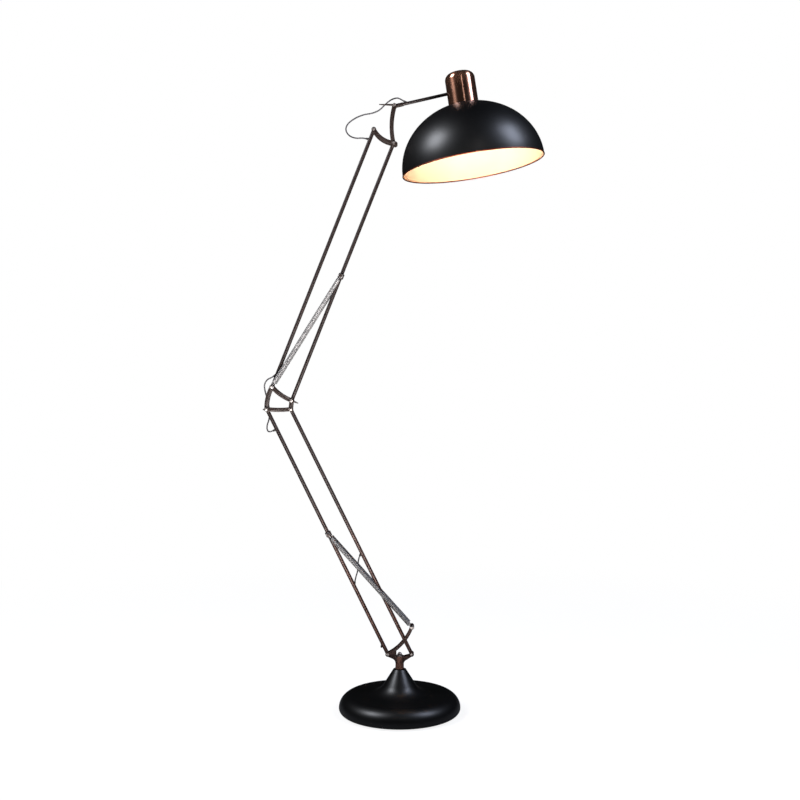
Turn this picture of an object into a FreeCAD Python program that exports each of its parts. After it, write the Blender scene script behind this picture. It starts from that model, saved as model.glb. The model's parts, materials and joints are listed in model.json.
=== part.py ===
import FreeCAD, Part
import math
import os
import re

import Sketcher
from FreeCAD import Placement, Rotation, Vector

# Adjustable arm floor lamp, in millimetres. The origin is the middle of the floor pad's underside, +Z is
# up, and the two arms lie in the XZ plane: the lower arm leans to -X, the upper arm and the head reach
# back to +X. Y is the thickness of the arms.

SIZES = {
    # floor base
    "base_radius": 170.0, "base_top": 52.0, "base_equator": 15.0, "base_wall": 3.0,
    "edge_low_radius": 13.0, "shoulder_radius": 37.0, "cone_angle": 57.3, "cone_fillet": 60.0,
    "neck_radius": 17.5, "neck_height": 121.0, "neck_boss": 7.0, "lip_width": 7.0,
    "pad_thickness": 2.0, "plate_gauge": 2.0, "weight_radius": 116.0, "recess_radius": 16.0,
    "recess_depth": 14.0, "stud_nut_radius": 7.5, "stud_nut_height": 6.8, "stud_radius": 4.0,
    "stud_clearance": 0.1, "screw_radius": 2.0, "screw_circle": 90.0, "screw_length": 16.0,
    # swivel neck and base bracket
    "washer_gauge": 1.0, "swivel_gap": 0.2, "collar_radius": 12.0, "collar_waist": 11.2,
    "collar_sink": 6.0, "plate_clearance": 0.8, "cap_nut_flange": 2.0,
    "cap_nut_height": 11.0, "cap_nut_crown": 1.2, "pivot_height": 163.0, "web_drop": 24.0,
    "web_flare": 8.0, "web_notch": 9.0, "lever_reach": 34.3, "lever_rise": 76.5, "lever_bow": 10.0,
    "lever_width": 8.0, "set_screw_radius": 1.5,
    # plates, bolts and knuckles that every joint of the arms shares
    "pivot_gap": 67.0, "plate_inner": 7.0, "plate_thickness": 2.5, "bar_width": 11.5,
    "boss_radius": 6.5, "bolt_radius": 2.5, "bolt_clearance": 0.1, "bolt_head_radius": 4.6,
    "bolt_head_height": 3.0, "knuckle_radius": 6.0, "knuckle_gap": 0.3, "neck_length": 11.0,
    "spigot_length": 14.0, "spacer_radius": 3.5,
    # arm tubes
    "tube_radius": 5.25, "tube_wall": 1.0, "lower_length": 764.0, "lower_lean": 26.3,
    "upper_length": 774.0, "upper_lean": 21.6, "flex_radius": 1.6,
    # elbow and head bracket
    "elbow_step": 14.9, "elbow_rise": 62.7, "skew_angle": 34.8, "elbow_bow": 4.5, "sag_bow": 4.5,
    "link_bow": 2.0, "head_step": 2.6, "head_rise": 104.4, "head_bow": 6.5, "head_sag": 8.5,
    "heel_reach": 5.0,
    # balance springs
    "spring_offset": 14.5, "spring_radius": 6.0, "spring_core": 4.2, "spring_wire": 1.0,
    "hook_radius": 5.2, "hook_length": 12.0, "anchor_station": 374.0, "anchor_wall": 3.0,
    "anchor_length": 14.0, "pin_radius": 3.0, "pin_reach": 21.0, "pin_cap_radius": 4.4,
    "pin_cap": 1.5,
    # clamp levers
    "hub_radius": 5.0, "hub_height": 7.0, "hub_gap": 0.3, "lever_root": 3.2, "lever_tip": 1.2,
    "head_lever": 43.0, "right_lever": 21.0, "left_lever": 10.0,
    # glands and cords
    "gland_root": 3.6, "gland_tip": 2.8, "gland_length": 12.0, "cord_radius": 2.0,
    "inlet_station": 32.0, "crossover_station": 212.6, "crossover_far": 317.0,
    "lower_gland_station": 701.0, "upper_gland_station": 37.8, "head_gland_station": 745.0,
    # head stem, cap and shade
    "stem_radius": 4.5, "stem_rise": 12.9, "stem_reach": 193.0, "socket_radius": 5.6,
    "socket_length": 25.0, "stem_inside": 21.0, "stem_gland_station": 37.0, "lock_nut_radius": 8.0,
    "lock_nut_height": 6.0, "cap_radius": 42.0, "cap_height": 265.0, "cap_wall": 2.0,
    "cap_corner": 20.0, "cap_entry": 213.5, "shade_tilt": 8.8, "shade_radius": 200.0,
    "shade_depth": 177.5, "shade_wall": 1.5, "crown_radius": 46.0, "crown_height": 172.5,
    "bead_radius": 1.8, "holder_radius": 20.0, "holder_low": 104.0, "flange_radius": 27.0,
    "flange_height": 4.0, "ring_height": 5.0, "holder_neck": 14.0, "thread_radius": 13.25,
    "thread_wall": 1.0, "thread_length": 30.0, "contact_radius": 5.0, "bracket_gauge": 2.0,
}

doc = FreeCAD.newDocument("arm_floor_lamp")
sheet = doc.addObject("Spreadsheet::Sheet", "Sizes")
for row, (alias, size) in enumerate(SIZES.items(), start=1):
    sheet.set(f"A{row}", alias)
    sheet.set(f"B{row}", str(size))
    sheet.setAlias(f"B{row}", alias)
doc.recompute()

WORD = re.compile(r"[a-z][a-z_]*")
nodes = []


def cells(text):
    """Write an expression on size names as one on the sheet's cells."""
    def qualified(word):
        return "Sizes." + word.group() if word.group() in SIZES else word.group()

    return WORD.sub(qualified, str(text))


def number(text):
    """The value, in millimetres or degrees, of an expression on size names."""
    return float(sheet.evalExpression(cells(text)))


def bind(thing, **sizes):
    """Tie properties of an object to expressions on size names."""
    for name, text in sizes.items():
        thing.setExpression(name, cells(text))
    return thing


# ---- sketches and bodies -------------------------------------------------------------------------


def attach(body, name, role):
    sketch = body.newObject("Sketcher::SketchObject", name)
    plane = next(item for item in body.Origin.OriginFeatures if item.Role == role)
    sketch.AttachmentSupport = (plane, [""])
    sketch.MapMode = "FlatFace"
    return sketch


def pin_to(sketch, kind, *where_and_text):
    """Add a dimension whose value is an expression."""
    *where, text = where_and_text
    index = sketch.addConstraint(Sketcher.Constraint(kind, *where, number(text)))
    sketch.setExpression(f"Constraints[{index}]", cells(text))


def outline(body, name, points, role="XZ_Plane"):
    """Close a sketch through (x, y) points. A point (x, y, radius, side) is reached by an arc that
    bulges to the left (1) or the right (-1) of the way to it."""
    sketch = attach(body, name, role)
    spots = [Vector(number(point[0]), number(point[1]), 0) for point in points]
    finish_corner = []
    for index, point in enumerate(points):
        start, end = spots[index - 1], spots[index]
        if len(point) == 2:
            sketch.addGeometry(Part.LineSegment(start, end), False)
            finish_corner.append(2)
            continue
        radius, side = number(point[2]), point[3]
        chord = end - start
        left = Vector(-chord.y, chord.x, 0).normalize()
        depth = math.sqrt(max(radius**2 - (chord.Length / 2) ** 2, 0))
        centre = (start + end) / 2 - left * side * depth
        first, last = (end, start) if side > 0 else (start, end)
        angles = [math.atan2(spot.y - centre.y, spot.x - centre.x) for spot in (first, last)]
        circle = Part.Circle(centre, Vector(0, 0, 1), radius)
        sketch.addGeometry(Part.ArcOfCircle(circle, *angles), False)
        finish_corner.append(1 if side > 0 else 2)
    for index, point in enumerate(points):
        after = (index + 1) % len(points)
        end_corner, start_corner = finish_corner[index], 3 - finish_corner[after]
        sketch.addConstraint(Sketcher.Constraint("Coincident", index, end_corner, after, start_corner))
        pin_to(sketch, "DistanceX", -1, 1, index, end_corner, point[0])
        pin_to(sketch, "DistanceY", -1, 1, index, end_corner, point[1])
        if len(point) == 4:
            pin_to(sketch, "Radius", index, point[2])
    return sketch


def circles(body, name, spots, radius, role="XZ_Plane"):
    sketch = attach(body, name, role)
    for index, (across, up) in enumerate(spots):
        centre = Vector(number(across), number(up), 0)
        sketch.addGeometry(Part.Circle(centre, Vector(0, 0, 1), number(radius)), False)
        pin_to(sketch, "DistanceX", -1, 1, index, 3, across)
        pin_to(sketch, "DistanceY", -1, 1, index, 3, up)
        pin_to(sketch, "Radius", index, radius)
    return sketch


def turned(name, points):
    """A body of revolution about its Z axis."""
    body = doc.addObject("PartDesign::Body", name)
    turn = body.newObject("PartDesign::Revolution", name + "_turn")
    turn.Profile = outline(body, name + "_profile", points)
    turn.ReferenceAxis = (turn.Profile[0], ["V_Axis"])
    turn.Angle = 360
    return body


def pad(body, sketch, length, midplane=True):
    feature = body.newObject("PartDesign::Pad", sketch.Name + "_pad")
    feature.Profile = sketch
    feature.Midplane = midplane
    return bind(feature, Length=length)


def bar(start, end, bow, width="bar_width"):
    """Outline of a flat bar between two points, bowed to the left by bow."""
    first, last = (Vector(number(spot[0]), number(spot[1]), 0) for spot in (start, end))
    chord = last - first
    left = Vector(-chord.y, chord.x, 0).normalize()
    rise = abs(number(bow))
    if rise == 0:
        normals, radius, side = (left, left), None, 1
    else:
        side = math.copysign(1, number(bow))
        radius = ((chord.Length / 2) ** 2 + rise**2) / (2 * rise)
        centre = (first + last) / 2 + left * side * (rise - radius)
        normals = [(spot - centre) * (side / radius) for spot in (first, last)]
    corners = []
    for (across, up), normal, sign in (
        (start, normals[0], 1), (end, normals[1], 1), (end, normals[1], -1), (start, normals[0], -1),
    ):
        offset = [f"({part * sign:.6f}) * {width} / 2" for part in (normal.x, normal.y)]
        corners.append((f"{across} + {offset[0]}", f"{up} + {offset[1]}"))
    if radius is None:
        return corners
    out = f"{radius:.6f} + ({side:.0f}) * {width} / 2"
    back = f"{radius:.6f} - ({side:.0f}) * {width} / 2"
    return [corners[0], (*corners[1], out, side), corners[2], (*corners[3], back, -side)]


def plate(name, bars, bosses, holes, web=None):
    """A bracket plate in the XZ plane, half its thickness each side of Y = 0."""
    body = doc.addObject("PartDesign::Body", name)
    if web:
        pad(body, outline(body, name + "_web", web), "plate_thickness")
    for index, ends in enumerate(bars, start=1):
        pad(body, outline(body, f"{name}_bar{index}", bar(*ends)), "plate_thickness")
    for index, (spot, radius) in enumerate(bosses, start=1):
        pad(body, circles(body, f"{name}_boss{index}", [spot], radius), "plate_thickness")
    for index, (spots, radius) in enumerate(holes, start=1):
        cut_out = body.newObject("PartDesign::Pocket", f"{name}_holes{index}")
        cut_out.Profile = circles(body, f"{name}_drill{index}", spots, radius)
        cut_out.Midplane = True
        bind(cut_out, Length="2 * plate_thickness")
    return body


# ---- primitives ----------------------------------------------------------------------------------

ALONG_Y = Rotation(Vector(1, 0, 0), -90)


def lean(angle):
    """Turn about Y, so that Z leans to +X."""
    return Rotation(Vector(0, 1, 0), angle)


def cylinder(name, radius, height, at=(0, 0, 0), turn=Rotation()):
    """A cylinder from its foot along its own Z; at holds expressions."""
    thing = bind(doc.addObject("Part::Cylinder", name), Radius=radius, Height=height)
    thing.Placement = Placement(spot_of(at), turn)
    return thing


def cone(name, foot, top, height, at=(0, 0, 0), turn=Rotation()):
    thing = bind(doc.addObject("Part::Cone", name), Radius1=foot, Radius2=top, Height=height)
    thing.Placement = Placement(spot_of(at), turn)
    return thing


def hexagon(name, radius, height, at=(0, 0, 0), turn=Rotation()):
    thing = bind(doc.addObject("Part::Prism", name), Circumradius=radius, Height=height)
    thing.Placement = Placement(spot_of(at), turn)
    return thing


def ring(name, major, minor, at, turn):
    thing = bind(doc.addObject("Part::Torus", name), Radius1=major, Radius2=minor)
    thing.Placement = Placement(spot_of(at), turn)
    return thing


def spot_of(at):
    return Vector(*(number(part) for part in at))


def fused(name, *things):
    joined = doc.addObject("Part::MultiFuse", name)
    joined.Shapes = list(things)
    return joined


def less(name, base, tool):
    rest = doc.addObject("Part::Cut", name)
    rest.Base, rest.Tool = base, tool
    return rest


def group(name, things):
    """Separate solids kept in one node."""
    together = doc.addObject("Part::Compound", name)
    together.Links = list(things)
    return together


def pipe(name, outer, inner, height, at=(0, 0, 0), turn=Rotation()):
    wall = less(name, cylinder(name + "_outside", outer, height), cylinder(name + "_bore", inner, height))
    wall.Placement = Placement(spot_of(at), turn)
    return wall


def node(thing, label, frame=Placement()):
    """Name a finished piece and stand it in its frame."""
    thing.Label = label
    thing.Placement = frame.multiply(thing.Placement)
    nodes.append(thing)


# ---- where the arms stand ------------------------------------------------------------------------


def along(start, angle, length):
    """The point a length away from start, leaning by angle from +Z to +X."""
    return start + lean(angle).multVec(Vector(0, 0, length))


half_gap = number("pivot_gap / 2")
base_left = Vector(-half_gap, 0, number("pivot_height"))
base_right = Vector(half_gap, 0, number("pivot_height"))
elbow_left = along(base_left, -number("lower_lean"), number("lower_length"))
top_step = ("pivot_gap * cos(skew_angle)", "-pivot_gap * sin(skew_angle)")
upper_left_foot = elbow_left + Vector(number("elbow_step"), 0, number("elbow_rise"))
upper_right_foot = upper_left_foot + Vector(number(top_step[0]), 0, number(top_step[1]))
head_left = along(upper_left_foot, number("upper_lean"), number("upper_length"))
head_right = head_left + Vector(number(top_step[0]), 0, number(top_step[1]))
tilt_point = head_right + Vector(number("head_step"), 0, number("head_rise"))
cap_middle = along(tilt_point, 90 - number("stem_rise"), number("stem_reach"))
rim_middle = along(cap_middle, -number("shade_tilt"), -number("cap_entry"))

BRACKET = Placement(Vector(0, 0, number("pivot_height")), Rotation())
LOWER_LEFT = Placement(base_left, lean(-number("lower_lean")))
LOWER_RIGHT = Placement(base_right, lean(-number("lower_lean")))
ELBOW = Placement(elbow_left, Rotation())
UPPER_LEFT = Placement(upper_left_foot, lean(number("upper_lean")))
UPPER_RIGHT = Placement(upper_right_foot, lean(number("upper_lean")))
HEAD_BRACKET = Placement(head_left, Rotation())
STEM = Placement(tilt_point, lean(90 - number("stem_rise")))
SHADE = Placement(rim_middle, lean(-number("shade_tilt")))
SIDES = {"front": -1, "back": 1}
PLATE_MIDDLE = "plate_inner + plate_thickness / 2"
PLATE_OUTSIDE = "plate_inner + plate_thickness"


# ---- shared pieces -------------------------------------------------------------------------------


def pivot_bolt(name, at, reach=None):
    """A bolt along Y through both plates; with a reach it carries spring hooks on its ends."""
    half = reach or PLATE_OUTSIDE
    across, up = at
    shank = cylinder(name + "_shank", "bolt_radius", f"2 * ({half})", (across, f"-({half})", up), ALONG_Y)
    ends = []
    for side, sign in SIDES.items():
        foot = f"-({half}) - bolt_head_height" if sign < 0 else half
        ends.append(hexagon(f"{name}_{side}_head", "bolt_head_radius", "bolt_head_height",
                            (across, foot, up), ALONG_Y))
    return fused(name, shank, *ends)


def spring_pin(name, at, foot, sign):
    """A round pin along Y whose cap keeps a spring hook on it."""
    across, up = at
    height = f"pin_reach - pin_cap - ({foot})"
    start = f"-(pin_reach - pin_cap)" if sign < 0 else foot
    cap_foot = "-pin_reach" if sign < 0 else "pin_reach - pin_cap"
    shank = cylinder(name + "_shank", "pin_radius", height, (across, start, up), ALONG_Y)
    cap = cylinder(name + "_cap", "pin_cap_radius", "pin_cap", (across, cap_foot, up), ALONG_Y)
    return fused(name, shank, cap)


def knuckle(name, foot_turn, foot="0"):
    """The end of an arm tube: a drum on the pivot bolt, a neck and a spigot inside the tube."""
    width = "2 * (plate_inner - knuckle_gap)"
    drum = cylinder(name + "_drum", "knuckle_radius", width, (0, "knuckle_gap - plate_inner", foot), ALONG_Y)
    neck = cylinder(name + "_neck", "tube_radius", "neck_length", (0, 0, foot), foot_turn)
    spigot = cylinder(name + "_spigot", "tube_radius - tube_wall", "neck_length + spigot_length",
                      (0, 0, foot), foot_turn)
    bore = cylinder(name + "_bore", "bolt_radius + bolt_clearance", width,
                    (0, "knuckle_gap - plate_inner", foot), ALONG_Y)
    return less(name, fused(name + "_solid", drum, neck, spigot), bore)


def arm_ends(name, length, frame):
    far = Rotation(Vector(0, 1, 0), 180)
    pair = [knuckle(name + "_foot", Rotation()), knuckle(name + "_top", far, length)]
    node(group(name, pair), name, frame)


def gland(name, station, angle, tube_radius="tube_radius"):
    """A tapered rubber boss seated on a tube, its mouth towards angle."""
    body = cone(name + "_body", "gland_root", "gland_tip", "gland_length", (0, 0, station), lean(angle))
    tube = cylinder(name + "_seat", tube_radius, "6 * gland_length", (0, 0, f"{station} - 3 * gland_length"))
    return less(name, body, tube)


def arm_tube(name, length, frame, ports=()):
    """An arm tube between its two knuckles, drilled for each cord port (station, angle)."""
    height = f"{length} - 2 * neck_length"
    tube = pipe(name + "_wall", "tube_radius", "tube_radius - tube_wall", height, (0, 0, "neck_length"))
    for index, (station, angle) in enumerate(ports, start=1):
        drill = cylinder(f"{name}_port{index}", "flex_radius", "gland_length", (0, 0, station), lean(angle))
        tube = less(f"{name}_drilled{index}", tube, drill)
    node(tube, name, frame)


def spring_anchor(name, frame):
    """A sleeve on an arm tube with a pin on each side for the spring hooks."""
    foot = "anchor_station - anchor_length / 2"
    sleeve = pipe(name + "_sleeve", "tube_radius + anchor_wall", "tube_radius", "anchor_length", (0, 0, foot))
    pins = [spring_pin(f"{name}_{side}", (0, "anchor_station"), "tube_radius + 1", sign)
            for side, sign in SIDES.items()]
    node(fused(name, sleeve, *pins), name, frame)


def spring_pair(prefix, top, foot):
    """Both balance springs of an arm, from the moving anchor at top to the fixed pin at foot. The coil is
    the closed envelope of the winding; the foot hooks are pieces of their own."""
    reach = foot - top
    turn = Rotation(Vector(0, 0, 1), reach)
    coil_length = f"{reach.Length:.4f} - 2 * hook_length"
    coils, feet = [], []
    for side, sign in SIDES.items():
        where = f"{sign} * spring_offset"
        coil = pipe(f"{prefix}_{side}_coil", "spring_radius", "spring_core", coil_length,
                    (0, 0, "hook_length"))
        coils.append(fused(f"{prefix}_{side}_winding", coil, *hook(f"{prefix}_{side}_top_hook", 0, 1)))
        foot_spot = f"{reach.Length:.4f}"
        feet.append(fused(f"{prefix}_{side}_foot_hook", *hook(f"{prefix}_{side}_foot", foot_spot, -1)))
        for piece in (coils[-1], feet[-1]):
            piece.Placement = Placement(Vector(0, number(where), 0), Rotation())
    frame = Placement(top, turn)
    node(group(prefix + "_springs", coils), prefix + "_springs", frame)
    node(group(prefix + "_spring_feet", feet), prefix + "_spring_feet", frame)


def hook(name, centre, towards):
    """A wire eye on a pin along Y at centre, its shank and the cap that closes the coil's end."""
    eye = ring(name + "_eye", "hook_radius", "spring_wire", (0, 0, centre), ALONG_Y)
    start = f"{centre} + {towards} * hook_radius"
    length = "hook_length - hook_radius"
    turn = Rotation() if towards > 0 else Rotation(Vector(1, 0, 0), 180)
    shank = cylinder(name + "_shank", "spring_wire", length, (0, 0, start), turn)
    cap_start = f"{centre} + {towards} * (hook_length - spring_wire)"
    cap = cylinder(name + "_cap", "spring_core", "spring_wire", (0, 0, cap_start), turn)
    return eye, shank, cap


def clamp(name, origin, length, angle):
    """A clamp lever on the front end of a pivot bolt: a hub and a tapered arm in the XZ plane."""
    hub_foot = f"-({PLATE_OUTSIDE}) - hub_gap - hub_height"
    hub = cylinder(name + "_hub", "hub_radius", "hub_height", (0, hub_foot, 0), ALONG_Y)
    arm = cone(name + "_arm", "lever_root", "lever_tip", length, (0, f"{hub_foot} + hub_height / 2", 0),
               lean(angle))
    bore = cylinder(name + "_bore", "bolt_radius + bolt_clearance", "hub_height", (0, hub_foot, 0), ALONG_Y)
    node(less(name, fused(name + "_solid", hub, arm), bore), name, Placement(origin, Rotation()))


def clamp_bolt(name, at):
    """A pivot bolt whose front end runs on through a clamp lever's hub."""
    across, up = at
    front = f"{PLATE_OUTSIDE} + hub_gap + hub_height + hub_gap"
    shank = cylinder(name + "_shank", "bolt_radius", f"{front} + {PLATE_OUTSIDE}",
                     (across, f"-({front})", up), ALONG_Y)
    cap = cylinder(name + "_cap", "bolt_head_radius", "bolt_head_height / 2",
                   (across, f"-({front}) - bolt_head_height / 2", up), ALONG_Y)
    nut = hexagon(name + "_nut", "bolt_head_radius", "bolt_head_height", (across, PLATE_OUTSIDE, up), ALONG_Y)
    return fused(name, shank, cap, nut)


def spacer(name, at):
    """A round bar between the two plates of a bracket."""
    across, up = at
    return cylinder(name, "spacer_radius", "2 * plate_inner", (across, "-plate_inner", up), ALONG_Y)


def plate_pair(prefix, frame, *details, **more):
    for side, sign in SIDES.items():
        body = plate(f"{prefix}_{side}", *details, **more)
        body.Placement = Placement(Vector(0, sign * number(PLATE_MIDDLE), 0), Rotation())
        node(body, f"{prefix}_{side}", frame)


# ---- floor base ----------------------------------------------------------------------------------

CONE_FOOT_Z = "(base_top + cone_fillet * (1 - cos(cone_angle)))"
CONE_FOOT_R = f"(neck_radius + (neck_height - {CONE_FOOT_Z}) / tan(cone_angle))"
FLAT_R = f"({CONE_FOOT_R} + cone_fillet * sin(cone_angle))"
EDGE_R = "(base_radius - edge_low_radius)"
SHOULDER_R = "(base_radius - shoulder_radius)"
LOW_Z = "(base_equator - edge_low_radius)"
BOSS_Z = "(neck_height - neck_boss)"
BORE_R = "(stud_radius + stud_clearance)"
INNER_CONE_R = f"({CONE_FOOT_R} - base_wall * sin(cone_angle))"
INNER_CONE_Z = f"({CONE_FOOT_Z} - base_wall * cos(cone_angle))"


def floor_base():
    weight_foot = "pad_thickness + plate_gauge"
    inside_top = "base_top - base_wall"
    lip_r = f"({EDGE_R} - lip_width)"
    node(cylinder("floor_pad", lip_r, "pad_thickness"), "floor_pad")

    screw_spots = [(f"screw_circle * cos({angle})", f"screw_circle * sin({angle})")
                   for angle in (45, 135, 225, 315)]
    cover = doc.addObject("PartDesign::Body", "base_plate")
    disc = circles(cover, "plate_disc", [(0, 0)], f"{lip_r} - stud_clearance", "XY_Plane")
    pad(cover, disc, "plate_gauge", midplane=False)
    holes = cover.newObject("PartDesign::Pocket", "plate_holes")
    holes.Profile = circles(cover, "plate_drill", screw_spots, "screw_radius", "XY_Plane")
    holes.Midplane = True
    bind(holes, Length="3 * plate_gauge")
    cover.Placement = Placement(spot_of((0, 0, "pad_thickness")), Rotation())
    node(cover, "base_plate")

    screws = [cylinder(f"plate_screw{index}", "screw_radius", "screw_length", (*spot, "pad_thickness"))
              for index, spot in enumerate(screw_spots, start=1)]
    node(group("plate_screws", screws), "plate_screws")

    height = f"{inside_top} - ({weight_foot})"
    block = less("weight_turned", pipe("weight_block", "weight_radius", BORE_R, height, (0, 0, weight_foot)),
                 cylinder("weight_recess", "recess_radius", "recess_depth", (0, 0, weight_foot)))
    taps = [cylinder(f"weight_tap{index}", "screw_radius", "screw_length - plate_gauge", (*spot, weight_foot))
            for index, spot in enumerate(screw_spots, start=1)]
    node(less("base_weight", block, group("weight_taps", taps)), "base_weight")

    node(turned("base_shell", [
        (lip_r, "pad_thickness"),
        (EDGE_R, "pad_thickness"),
        ("base_radius", "base_equator", "edge_low_radius", -1),
        (SHOULDER_R, "base_top", "shoulder_radius", -1),
        (FLAT_R, "base_top"),
        (CONE_FOOT_R, CONE_FOOT_Z, "cone_fillet", 1),
        ("neck_radius", "neck_height"),
        (BORE_R, "neck_height"),
        (BORE_R, BOSS_Z),
        (f"{INNER_CONE_R} - ({BOSS_Z} - {INNER_CONE_Z}) / tan(cone_angle)", BOSS_Z),
        (INNER_CONE_R, INNER_CONE_Z),
        (FLAT_R, inside_top, "cone_fillet + base_wall", -1),
        (SHOULDER_R, inside_top),
        ("base_radius - base_wall", "base_equator", "shoulder_radius - base_wall", 1),
        (EDGE_R, f"{LOW_Z} + base_wall", "edge_low_radius - base_wall", 1),
        (lip_r, f"{LOW_Z} + base_wall"),
    ]), "base_shell")

    stud_foot = f"{weight_foot} + 1"
    nut_foot = f"{weight_foot} + recess_depth - washer_gauge - stud_nut_height"
    node(cylinder("base_stud", "stud_radius", f"pivot_height + 1 - ({stud_foot})", (0, 0, stud_foot)),
         "base_stud")
    nut_blank = hexagon("stud_nut_blank", "stud_nut_radius", "stud_nut_height", (0, 0, nut_foot))
    bottom_nut = less("stud_nut", nut_blank,
                      cylinder("stud_nut_bore", "stud_radius", "stud_nut_height", (0, 0, nut_foot)))
    bottom_washer = pipe("stud_washer", "3 * stud_radius", "stud_radius", "washer_gauge",
                         (0, 0, f"{weight_foot} + recess_depth - washer_gauge"))
    swivel_washer = pipe("swivel_washer", "collar_radius - 1", "stud_radius", "washer_gauge",
                         (0, 0, "neck_height"))
    node(group("stud_hardware", [bottom_nut, bottom_washer, swivel_washer]), "stud_hardware")

    # the domed nut keeps the swivel down; its flange clears the bracket plates as they turn
    collar_top = "pivot_height - collar_sink"
    flange = "sqrt(web_notch^2 + plate_inner^2) - plate_clearance"
    flange_top = f"{collar_top} + swivel_gap + cap_nut_flange"
    dome_foot = "plate_inner - plate_clearance"
    node(turned("swivel_cap_nut", [
        ("stud_radius", f"{collar_top} + swivel_gap"),
        (flange, f"{collar_top} + swivel_gap"),
        (flange, flange_top),
        (dome_foot, flange_top),
        (dome_foot, f"{flange_top} + 3"),
        ("cap_nut_crown", f"{collar_top} + cap_nut_height", "plate_inner - plate_clearance + 0.4", -1),
        (0, f"{collar_top} + cap_nut_height"),
        (0, "pivot_height + 1"),
        ("stud_radius", "pivot_height + 1"),
    ]), "swivel_cap_nut")


# ---- swivel: neck collar and base bracket --------------------------------------------------------


def swivel():
    foot = "neck_height + washer_gauge + swivel_gap - pivot_height"
    top = "-collar_sink"
    blank = turned("collar_blank", [
        (BORE_R, foot),
        ("collar_radius", foot),
        ("collar_radius", f"{foot} + 3"),
        ("collar_radius", "-web_drop", 90, 1),
        ("collar_radius", top),
        (BORE_R, top),
    ])
    slots, screws, sockets = [], [], []
    for side, sign in SIDES.items():
        slot = bind(doc.addObject("Part::Box", f"collar_slot_{side}"), Length="3 * collar_radius",
                    Width="plate_thickness", Height="web_drop")
        low = "plate_inner" if sign > 0 else f"-({PLATE_OUTSIDE})"
        slot.Placement = Placement(spot_of(("-1.5 * collar_radius", low, "-web_drop")), Rotation())
        slots.append(slot)
        inner, outer = "stud_radius + 1.2", "collar_radius"
        turn = ALONG_Y if sign > 0 else ALONG_Y.inverted()
        for target, kind in ((screws, "screw"), (sockets, "socket")):
            shank = cylinder(f"bracket_{kind}_{side}_shank", "set_screw_radius", f"{outer} - ({inner})",
                             (0, f"{sign} * ({inner})", "-0.62 * web_drop"), turn)
            head = cylinder(f"bracket_{kind}_{side}_head", "2 * set_screw_radius", 2,
                            (0, f"{sign} * ({outer} - 0.6)", "-0.62 * web_drop"), turn)
            target.append(fused(f"bracket_{kind}_{side}", shank, head))
    drilled = less("collar_drilled", blank, group("collar_cuts", slots + sockets))
    node(drilled, "neck_collar", BRACKET)
    node(group("bracket_screws", screws), "bracket_screws", BRACKET)

    left, right = ("-pivot_gap / 2", "0"), ("pivot_gap / 2", "0")
    lever_end = ("lever_reach", "lever_rise")
    web = [
        left,
        (left[0], "-boss_radius + 0.5"),
        ("-collar_radius - web_flare", "-web_drop / 2"),
        ("-collar_radius", "-web_drop", "1.6 * web_flare", 1),
        ("collar_radius", "-web_drop"),
        ("collar_radius + web_flare", "-0.62 * web_drop", "1.4 * web_flare", 1),
        (right[0], "-boss_radius + 0.5"),
        right,
        ("collar_radius", top),
        ("-web_notch", top),
        ("-web_notch", "boss_radius + 3"),
        (left[0], "boss_radius - 1"),
    ]
    bosses = [(left, "boss_radius"), (right, "boss_radius"), (lever_end, "boss_radius")]
    holes = [([left, right], "bolt_radius"), ([lever_end], "pin_radius"),
             ([(0, "-0.62 * web_drop")], "set_screw_radius")]
    lever = (left, lever_end, "-lever_bow", "lever_width")
    plate_pair("base_bracket", BRACKET, [lever], bosses, holes, web=web)
    bolts = [pivot_bolt("base_bolt_left", left), pivot_bolt("base_bolt_right", right)]
    node(group("base_pivot_bolts", bolts), "base_pivot_bolts", BRACKET)
    pins = [spring_pin(f"lever_pin_{side}", lever_end, "plate_inner", sign) for side, sign in SIDES.items()]
    node(group("lever_pins", pins), "lever_pins", BRACKET)


# ---- arms ----------------------------------------------------------------------------------------

# each cord port is (station along the tube, angle of its gland from the tube's own Z)
INLET = ("inlet_station", -135)
LOWER_PORT = ("lower_gland_station", -85)
CROSS_PORT = ("crossover_station", 38)
CROSS_FAR_PORT = ("crossover_far", -130)
UPPER_PORT = ("upper_gland_station", -142)
HEAD_PORT = ("head_gland_station", -100)
STEM_PORT = ("stem_gland_station", -135.6)


def lower_arm():
    arm_tube("lower_left_tube", "lower_length", LOWER_LEFT, [INLET, LOWER_PORT, CROSS_PORT])
    arm_ends("lower_left_ends", "lower_length", LOWER_LEFT)
    spring_anchor("lower_spring_anchor", LOWER_LEFT)
    glands = [gland("lead_inlet", *INLET), gland("elbow_gland", *LOWER_PORT),
              gland("crossover_gland", *CROSS_PORT)]
    node(group("lower_left_glands", glands), "lower_left_glands", LOWER_LEFT)
    node(cylinder("lower_flex", "flex_radius", "lower_gland_station - inlet_station",
                  (0, 0, "inlet_station")), "lower_flex", LOWER_LEFT)
    arm_tube("lower_right_tube", "lower_length", LOWER_RIGHT, [CROSS_FAR_PORT])
    arm_ends("lower_right_ends", "lower_length", LOWER_RIGHT)
    node(gland("lower_right_gland", *CROSS_FAR_PORT), "lower_right_gland", LOWER_RIGHT)
    anchor = LOWER_LEFT.multVec(Vector(0, 0, number("anchor_station")))
    lever_end = BRACKET.multVec(Vector(number("lever_reach"), 0, number("lever_rise")))
    spring_pair("lower", anchor, lever_end)


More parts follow.
